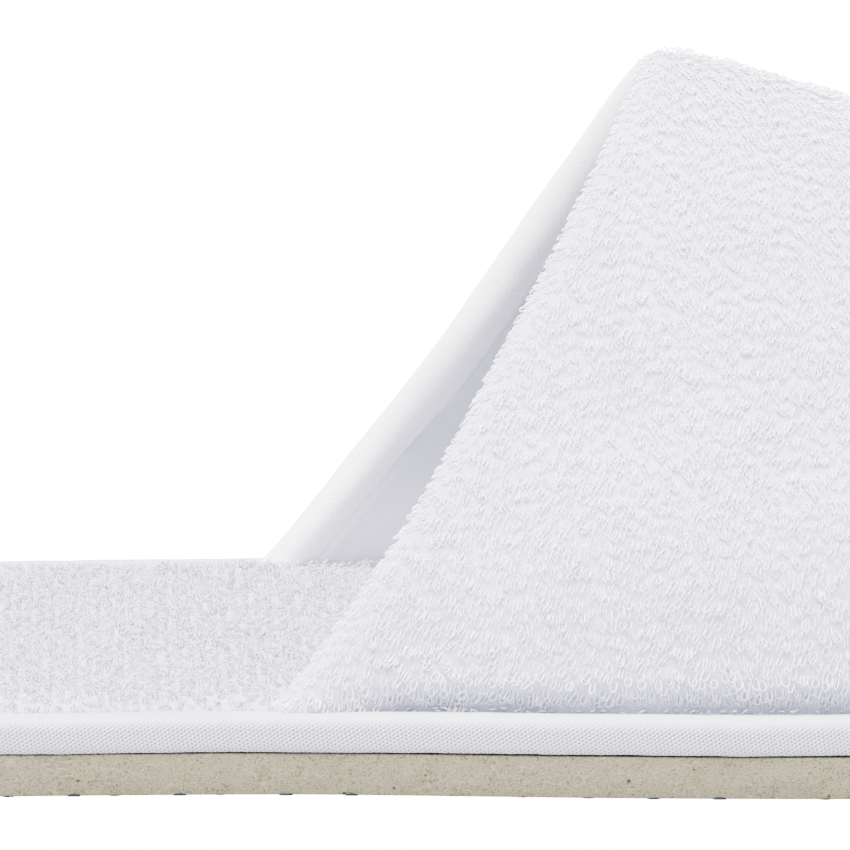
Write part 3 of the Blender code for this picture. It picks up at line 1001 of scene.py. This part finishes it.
@dataclass
class Outsole(Assembly):
    """The foam sole with its moulded grip dots."""

    dot_pitch: float = 3.4 * MM
    dot_radius: float = 0.85 * MM
    dot_rise: float = 0.34 * MM
    dot_shift: float = -4.25 * MM
    dot_turn: float = -math.atan2(2, 3)
    dot_clearance: float = 0.01 * MM
    dot_overhang: float = 0.04 * MM
    least_sliver: float = 0.45
    wall_points: int = 420
    wall_waviness: float = 0.12 * MM
    soft_edge: float = 0.25 * MM

    def build(self) -> None:
        """Makes the sole and its dots."""
        self.pieces["outsole_foam"] = own(self._foam(), "eva_foam", "outsole")
        self.pieces["grip_dots"] = own(self._dots(), "grip_rubber", "grip_layer")

    def _foam(self) -> bpy.types.Object:
        """Returns:
            The die-cut foam: a flat slab with slightly softened edges.
        """
        shape = bmesh.new()
        ring = []
        for step in range(self.wall_points):
            point, outward = OUTLINE.at(step / self.wall_points)
            point += outward * self.wall_waviness * ripple(point, 14 * MM, 1.0)
            ring.append(shape.verts.new((point.x, point.y, SIZES.sole_bottom)))
        base = shape.faces.new(ring)
        raised = bmesh.ops.extrude_face_region(shape, geom=[base])["geom"]
        lifted = [item for item in raised if isinstance(item, bmesh.types.BMVert)]
        bmesh.ops.translate(shape, verts=lifted, vec=(0, 0, SIZES.sole_top - SIZES.sole_bottom))
        bmesh.ops.recalc_face_normals(shape, faces=shape.faces)
        rims = [e for e in shape.edges if abs(e.verts[0].co.z - e.verts[1].co.z) < 1e-6]
        bmesh.ops.bevel(
            shape, geom=rims, offset=self.soft_edge, segments=2, profile=0.5, affect="EDGES", material=-1
        )
        piece = keep("outsole_foam", shape)
        piece.data.set_sharp_from_angle(angle=math.radians(50))
        return piece

    def _dots(self) -> bpy.types.Object:
        """Returns:
            Rows of low round dots, those at the edge cut off with the foam.
        """
        dot = bmesh.new()
        bmesh.ops.create_uvsphere(dot, u_segments=10, v_segments=4, radius=1.0)
        bmesh.ops.scale(dot, verts=dot.verts, vec=(self.dot_radius, self.dot_radius, self.dot_rise))
        mesh = bpy.data.meshes.new("dot")
        dot.to_mesh(mesh)
        dot.free()
        flat = np.array([v.co for v in mesh.vertices])
        flat[:, 2] = np.maximum(flat[:, 2], self.dot_clearance - SIZES.sole_bottom)
        shape = bmesh.new()
        for centre in self._centres():
            moved = flat + centre
            inset, nearest = OUTLINE.inset_of(moved[:, :2])
            outside = inset < -self.dot_overhang
            back = (inset[outside] + self.dot_overhang)[:, None]
            moved[outside, :2] += OUTLINE.outward[nearest[outside]] * back
            mesh.vertices.foreach_set("co", moved.ravel())
            shape.from_mesh(mesh)
        return keep("grip_dots", shape)

    def _centres(self) -> list[np.ndarray]:
        """Returns:
            The dots' places: a square grid turned three up, two across.
        """
        reach = int(SIZES.length / self.dot_pitch)
        turn = np.array(Matrix.Rotation(self.dot_turn, 2))
        grid = []
        for i in range(-reach, reach + 1):
            for j in range(-reach, reach + 1):
                grid.append(turn @ np.array([i, j]) * self.dot_pitch + (self.dot_shift, 0))
        grid = np.array(grid)
        near = (abs(grid[:, 0]) < SIZES.length * 0.51) & (abs(grid[:, 1]) < SIZES.ball_half_width * 1.03)
        grid = grid[near]
        inset, _ = OUTLINE.inset_of(grid)
        inside = grid[inset > -self.least_sliver * self.dot_radius]
        return [np.array([x, y, SIZES.sole_bottom]) for x, y in inside]

    def dress(self) -> None:
        """Gives the foam and the dots their finishes."""
        dress(self.finishes.foam, self.pieces["outsole_foam"])
        dress(self.finishes.rubber, self.pieces["grip_dots"])


@dataclass
class EdgeBinding(Assembly):
    """The twill tape round the insole's edge and the thread that holds it."""

    stations: int = 760
    section_points: int = 34
    top_leg: float = 5.4 * MM
    proud: float = 0.45 * MM
    tape: float = 0.45 * MM
    roll: float = 0.95 * MM
    roll_steps: int = 8
    out_power: float = 0.55
    up_power: float = 0.75
    sway: float = 0.16 * MM
    pull: float = 0.14 * MM
    crease: float = 0.06 * MM
    free_face: float = 2 * MM
    held_share: float = 0.3
    stitch_pitch: float = 3.2 * MM
    stitch_share: float = 0.72
    stitch_inset: float = 0.15 * MM
    stitch_drop: float = 0.75 * MM
    thread: float = 0.17 * MM

    def _section(self) -> list[tuple[float, float]]:
        """Returns:
            The tape's face as (outward, up), from its lower leg's inner edge round to its upper leg's.
        """
        height = SIZES.tape_top - SIZES.tape_bottom
        points = [(-self.top_leg, 0.0), (-3.2 * MM, 0.0), (-1.6 * MM, 0.02 * MM)]
        for step in range(self.roll_steps + 1):
            angle = -math.pi / 2 + math.pi * step / self.roll_steps
            out = abs(math.cos(angle)) ** self.out_power * self.roll
            rise = math.copysign(abs(math.sin(angle)) ** self.up_power, math.sin(angle))
            points.append((self.proud - self.roll + out, height / 2 + rise * height / 2))
        points += [(-1.8 * MM, height - 0.02 * MM), (-3.2 * MM, height - 0.10 * MM)]
        points += [(-4.5 * MM, height - 0.25 * MM), (-self.top_leg, height - 0.6 * MM)]
        steps = [math.dist(a, b) for a, b in zip(points[:-1], points[1:])]
        reached = np.concatenate([[0], np.cumsum(steps)])
        evenly = np.linspace(0, reached[-1], self.section_points)
        outs, ups = (np.interp(evenly, reached, [point[axis] for point in points]) for axis in (0, 1))
        return list(zip(outs, ups))

    def build(self) -> None:
        """Makes the tape and its stitches."""
        section = self._section()
        points = np.zeros((self.stations + 1, len(section), 3))
        for i in range(self.stations + 1):
            edge, outward = OUTLINE.at(i / self.stations)
            sway = self.sway * ripple(edge, 22 * MM, 5.0)
            pull = self.pull * ripple(edge, 9 * MM, 9.0)
            for j, (out, up) in enumerate(section):
                spot = edge + outward * (out + pull * (1 if out > -self.free_face else self.held_share))
                crease = self.crease * ripple(spot, 3 * MM, 2.0)
                points[i, j] = (spot.x, spot.y, SIZES.tape_bottom + up + sway + crease)
        length = sum(math.dist(a, b) for a, b in zip(section[:-1], section[1:]))
        tape = formed_cloth("edge_binding_tape", points, (OUTLINE.perimeter, length))
        thicken(tape, self.tape)
        own(tape, "white_tape", "edge_binding")
        self.pieces["tape"] = tape
        self.pieces["thread"] = own(self._stitches(), "white_thread", "binding_thread")

    def _stitches(self) -> bpy.types.Object:
        """Returns:
            Short stitches beside the tape's inner edge.
        """
        inset = self.top_leg + self.stitch_inset
        count = int(OUTLINE.perimeter / self.stitch_pitch)
        raised = Vector((0, 0, SIZES.tape_top - self.stitch_drop))
        runs = []
        for step in range(count):
            start, _ = OUTLINE.at(step / count, inset)
            end, _ = OUTLINE.at((step + self.stitch_share) / count, inset)
            runs.append((start + raised, end + raised))
        return stitches("binding_stitches", runs, self.thread)

    def dress(self) -> None:
        """Gives the tape its weave, and the thread the insole's cotton with its painted shade."""
        dress(self.finishes.twill, self.pieces["tape"])
        dress(self.finishes.shaded_cotton, self.pieces["thread"])


@dataclass
class Insole(Assembly):
    """The padded footbed: terry over sponge over a backing."""

    along: int = 300
    across: int = 92
    edge_inset: float = 5.0 * MM
    edge_height: float = 8.7 * MM
    tip_taper: float = 12 * MM
    crown_start: float = 3.5 * MM
    crown_run: float = 6 * MM
    pressed: float = 0.5 * MM
    pressed_run: float = 16 * MM
    unevenness: float = 0.22 * MM
    swell_cap: float = 0.8 * MM
    swell_share: float = 0.5
    cover: float = 0.5 * MM
    thin_from: float = 45 * MM
    thin_share: float = 0.4
    oval_share: float = 0.86
    loops: LoopStyle = LoopStyle(0.95e6, 0.6 * MM, 0.8 * MM, 0.72 * MM, yarn=0.075 * MM, swirl=1.4)

    def _surface(self) -> np.ndarray:
        """Returns:
            The footbed's top as a grid, crowned and slightly uneven.
        """
        points = np.zeros((self.along + 1, self.across + 1, 3))
        half = OUTLINE.ring[OUTLINE.ring[:, 1] >= 0]
        half = half[np.argsort(half[:, 0])]
        low, high = half[0, 0] + self.edge_inset, half[-1, 0] - self.edge_inset
        shrink = (high - low) / (half[-1, 0] - half[0, 0])
        for i in range(self.along + 1):
            turn = math.pi * i / self.along
            x = (low + high) / 2 - (high - low) / 2 * math.cos(turn)
            width = np.interp((x - (low + high) / 2) / shrink, half[:, 0], half[:, 1])
            width = max(width - self.edge_inset * min(1.0, width / self.tip_taper), 0.0)
            for j in range(self.across + 1):
                points[i, j, :2] = (x, width * (2 * j / self.across - 1))
        inset, _ = OUTLINE.inset_of(points[:, :, :2].reshape(-1, 2))
        for index, depth in enumerate(inset):
            i, j = divmod(index, self.across + 1)
            spot = Vector((points[i, j, 0], points[i, j, 1], 0))
            crown = smoothstep((depth - self.crown_start) / self.crown_run)
            pressed = self.pressed * smoothstep((spot.x - FORM.corner_x) / self.pressed_run)
            rise = self.edge_height + (SIZES.insole_top - self.edge_height - pressed) * crown
            uneven = ripple(spot, 24 * MM, 4.0) + ripple(spot, 8 * MM, 6.0) * 0.5
            points[i, j, 2] = rise + crown * self.unevenness * uneven
        return points

    def _sewn(self, i: int, j: int) -> bool:
        """Tells whether the cover is held by the tape at a column and row."""
        return i in (0, self.along) or j in (0, self.across)

    def _share_at(self, root: np.ndarray) -> float:
        """Returns the share of the loops that grow at a place, fewer where the toes hide them."""
        return 1.0 if root[0] < self.thin_from else self.thin_share

    def build(self) -> None:
        """Makes the cover and its loops."""
        points = self._surface()
        points[:, :, 2] += swelling(points, self._sewn, self.swell_cap) * self.swell_share
        span = points[:, :, 0].max() - points[:, :, 0].min()
        breadth = points[:, :, 1].max() - points[:, :, 1].min()
        cover = formed_cloth("insole_cover", points, (span, breadth))
        thicken(cover, self.cover)
        own(cover, "white_terry", "insole_terry")
        grown = TerryPile(self.loops, 11).grow("insole_loops", points, self._share_at)
        self.pile = [own(patch, "white_terry") for patch in grown]
        area = span * breadth * self.oval_share
        self.pieces["cover"] = cover

    def dress(self) -> None:
        """Gives the footbed and the layers under it their finishes."""
        dress(self.finishes.shaded_insole_ground, self.pieces["cover"])
        dress(self.finishes.shaded_cotton, *self.pile)
        dress(self.finishes.sponge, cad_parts["insole_padding"])
        dress(self.finishes.fleece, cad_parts["insole_backing"])


@dataclass
class Upper(Assembly):
    """The vamp: terry turned in over the throat, foam between, and a knit lining."""

    grain: float = 0.95 * MM
    rows: int = 94
    easing: float = 1.8
    ground_depth: float = 0.6 * MM
    hem_edge_depth: float = 0.9 * MM
    hem_ease: float = 3.5 * MM
    bare_hem: float = 7.4 * MM
    far_bare: float = 3.6 * MM
    hem_overlap: float = 0.8 * MM
    cloth: float = 0.4 * MM
    relief: float = 0.35 * MM
    crest_calm: float = 6
    calm_from: float = 0.8
    height_of_cloth: float = 95 * MM
    crowding: float = 1.7
    crowded_height: float = 1.8 * MM
    behind_tape: float = 0.7 * MM
    lining_start: float = 5.4 * MM
    lining_depth: float = 4.7 * MM
    lining_thickness: float = 0.3 * MM
    lining_relief: float = 0.12 * MM
    lining_height: float = 85 * MM
    lining_columns: int = 90
    lining_rows: int = 60
    seam_offset: float = 0.4 * MM
    seam_depth: float = 5.2 * MM
    seam_stitches: int = 56
    stitch_parts: tuple[float, float] = (0.1, 0.7)
    seam_thread: float = 0.11 * MM
    tall: LoopStyle = LoopStyle(0.92e6, 0.78 * MM, 1.15 * MM, 0.52 * MM, yarn=0.1 * MM, swirl=0.3)
    short: LoopStyle = LoopStyle(1.0e6, 0.7 * MM, 0.8 * MM, 0.28 * MM, yarn=0.085 * MM, swirl=0.6)

    def _eased(self, step: float) -> float:
        """Returns the share from foot to ridge of a row, the rows closing up towards the ridge."""
        return 1 - (1 - step) ** self.easing

    def _cloth(
        self, column_at: Callable[[float], Column], run: float, columns: int, rows: int, relief: float
    ) -> np.ndarray:
        """A grid from the throat on the -Y side round the toe to the +Y side's throat.

        Args:
            column_at: Gives the column at a run from the throat.
            run: The run from the throat to the toe's tip.
            columns: Grid steps on each side.
            rows: Grid steps from foot to ridge.
            relief: How far the cloth's soft unevenness moves it.

        Returns:
            The grid's points.
        """
        points = np.zeros((2 * columns + 1, rows + 1, 3))
        for i in range(columns + 1):
            column = column_at(run * i / columns)
            for j in range(rows + 1):
                share = self._eased(j / rows)
                middle = FORM.point(column, share)
                outward = FORM.outward(column, share)
                for side, index in ((-1, i), (1, 2 * columns - i)):
                    spot = Vector((middle.x, middle.y * side, middle.z))
                    swell = relief * (ripple(spot, 17 * MM, 8.0) + 0.45 * ripple(spot, 6 * MM, 2.0))
                    swell *= min(1.0, self.crest_calm * (1 - share)) if share > self.calm_from else 1.0
                    moved = spot + Vector((outward.x, outward.y * side, outward.z)) * swell
                    points[index, j] = (moved.x, moved.y, moved.z)
        return points

    def build(self) -> None:
        """Makes the terry, its loops, the lining and the seam's stitches."""
        run = FORM.terry_run
        terry = self._cloth(self._terry_at, run, int(run / self.grain), self.rows, self.relief)
        cover = formed_cloth("upper_cloth", terry, (2 * run, self.height_of_cloth))
        thicken(cover, self.cloth)
        own(cover, "white_terry", "upper_terry")
        near, far = round(self.bare_hem / self.grain), round((self.bare_hem + self.far_bare) / self.grain)
        lip = round(FORM.lip_end / self.grain)
        grown = TerryPile(self.tall, 5).grow("upper_loops", terry[lip:-lip], self._share_at)
        grown += TerryPile(self.short, 6).grow("lip_loops_right", terry[near : lip + 1], self._share_at)
        grown += TerryPile(self.short, 7).grow("lip_loops_left", terry[-lip - 1 : -far], self._share_at)
        self.pile = [own(patch, "white_terry") for patch in grown]
        self.pieces["cover"] = cover
        self._lining()
        self._seam()

    def _terry_at(self, along: float) -> Column:
        """Returns the cloth's column at a run: sunk at the hem's edge, and under the pile where it grows."""
        turned_in = self.hem_edge_depth * (1 - smoothstep(along / self.hem_ease))
        under_pile = self.ground_depth * smoothstep((along - self.bare_hem) / self.hem_ease)
        return FORM.terry_column(along, turned_in + under_pile)

    def _share_at(self, root: np.ndarray) -> float:
        """Returns the share of the loops that grow at a place: none behind the tape, and more just over it.

        Args:
            root: Where the loop would stand.

        Returns:
            The share of the style's density.
        """
        if root[2] < SIZES.tape_top - self.behind_tape:
            return 0.0
        return self.crowding if root[2] < SIZES.tape_top + self.crowded_height else 1.0

    def _lining_at(self, along: float) -> Column:
        """Returns the lining's column at a run from the hem's edge."""
        return Column(self.lining_start, FORM.station(along), self.lining_depth, FORM.lining_foot, 0)

    def _lining(self) -> None:
        """Makes the smooth knit inside, from the hem's edge to the toe."""
        run = FORM.side_run + FORM.toe_run
        cloth = self._cloth(self._lining_at, run, self.lining_columns, self.lining_rows, self.lining_relief)
        lining = formed_cloth("upper_knit_lining", cloth, (2 * run, self.lining_height))
        thicken(lining, self.lining_thickness, 1)
        own(lining, "white_lining", "upper_lining")
        self.pieces["lining"] = lining

    def _seam(self) -> None:
        """Makes the stitches over the joint between the hem and the lining."""
        column = Column(FORM.hem_width + self.seam_offset, 0, self.seam_depth, FORM.lining_foot, 0)
        runs = []
        for side in (-1, 1):
            for step in range(self.seam_stitches):
                shares = [self._eased((step + part) / self.seam_stitches) for part in self.stitch_parts]
                start, end = (FORM.point(column, share, side) for share in shares)
                runs.append((start, end))
        seam = stitches("throat_stitches", runs, self.seam_thread)
        self.pieces["seam"] = own(seam, "white_thread", "throat_thread")

    def dress(self) -> None:
        """Gives the vamp's cloths and hidden foam their finishes."""
        cover = self.pieces["cover"]
        dress(self.finishes.ground, cover)
        cover.data.materials.append(self.finishes.hem)
        for face in cover.data.polygons:
            across = cover.data.uv_layers[0].data[face.loop_start].uv[0]
            far_side = self.far_bare + self.hem_overlap if across > FORM.terry_run else 0
            smooth_end = self.bare_hem + far_side
            face.material_index = int(min(across, 2 * FORM.terry_run - across) < smooth_end)
        dress(self.finishes.pile, *self.pile)
        dress(self.finishes.lining, self.pieces["lining"])
        dress(self.finishes.shaded_cotton, self.pieces["seam"])
        dress(self.finishes.sponge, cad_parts["upper_padding"])


# ---------- studio


@dataclass
class Studio:
    """A pale floor, soft light and the camera."""

    azimuth: float = math.radians(-2.6)
    elevation: float = math.radians(10.5)
    distance: float = 0.85
    width_seen: float = 98.0 * MM
    aim: Vector = field(default_factory=lambda: Vector((1.65, -43, 42.9)) * MM)
    sensor: float = 36.0
    near_clip: float = 0.01
    floor_reach: float = 4.0
    floor_grey: float = 0.55
    floor_glow: float = 16.0
    room_strength: float = 0.8

    def camera(self) -> None:
        """Stands the camera at the slipper's waist, a long lens low over the floor."""
        data = bpy.data.cameras.new("studio_camera")
        camera = bpy.data.objects.new("studio_camera", data)
        level = math.cos(self.elevation)
        across, back = level * math.sin(self.azimuth), -level * math.cos(self.azimuth)
        away = Vector((across, back, math.sin(self.elevation)))
        camera.location = self.aim + away * self.distance
        camera.rotation_euler = (-away).to_track_quat("-Z", "Y").to_euler()
        data.sensor_width = self.sensor
        data.lens = self.distance * self.sensor / self.width_seen
        data.clip_start = self.near_clip
        bpy.context.scene.collection.objects.link(camera)
        bpy.context.scene.camera = camera

    def floor(self) -> None:
        """Lays a plain white floor, which glows for the camera only."""
        shape = bmesh.new()
        bmesh.ops.create_grid(shape, x_segments=1, y_segments=1, size=self.floor_reach)
        floor = keep("studio_floor", shape, smooth=False)
        material = bpy.data.materials.new("studio_white")
        material.use_nodes = True
        shader = material.node_tree.nodes["Principled BSDF"]
        shader.inputs["Base Color"].default_value = (*[self.floor_grey] * 3, 1)
        shader.inputs["Roughness"].default_value = 0.9
        shader.inputs["Specular IOR Level"].default_value = 0.1
        graph = Graph(material.node_tree)
        seen = graph.add("ShaderNodeLightPath").outputs["Is Camera Ray"]
        shader.inputs["Emission Color"].default_value = (1, 1, 1, 1)
        graph.join(graph.math("MULTIPLY", seen, self.floor_glow), shader.inputs["Emission Strength"])
        dress(material, floor)

    def lights(self) -> None:
        """Hangs a broad light above the front and a smaller one at the throat, in a softly lit room."""
        world = bpy.data.worlds.new("studio_room")
        world.use_nodes = True
        sky = world.node_tree.nodes["Background"]
        sky.inputs["Color"].default_value = (0.86, 0.89, 1.0, 1)
        sky.inputs["Strength"].default_value = self.room_strength
        bpy.context.scene.world = world
        key, throat = Vector((-0.1, -0.36, 1.05)), Vector((-0.95, -0.1, 0.5))
        self._softbox("key_light", key, size=0.8, power=106.0, colour=(1.0, 0.985, 0.95))
        self._softbox("throat_light", throat, size=0.6, power=17.0, colour=(0.97, 0.98, 1.0))

    def _softbox(self, name: str, place: Vector, size: float, power: float, colour: tuple) -> None:
        """Hangs a square softbox that faces the slipper.

        Args:
            name: The light's name.
            place: Where it hangs.
            size: The length of its side.
            power: In watts.
            colour: Its light's colour.
        """
        data = bpy.data.lights.new(name, "AREA")
        data.size = size
        data.energy = power
        data.color = colour
        light = bpy.data.objects.new(name, data)
        light.location = place
        light.rotation_euler = (Vector((0, 0, 30 * MM)) - place).to_track_quat("-Z", "Y").to_euler()
        bpy.context.scene.collection.objects.link(light)


def main() -> None:
    """Builds and dresses the slipper from the floor up."""
    logging.basicConfig(level=logging.INFO, format="%(name)s %(message)s")
    studio = Studio()
    studio.camera()
    studio.floor()
    studio.lights()
    finishes = Finishes()
    for assembly in (Outsole(finishes), EdgeBinding(finishes), Insole(finishes), Upper(finishes)):
        assembly.build()
        assembly.dress()


if __name__ == "__main__":
    main()
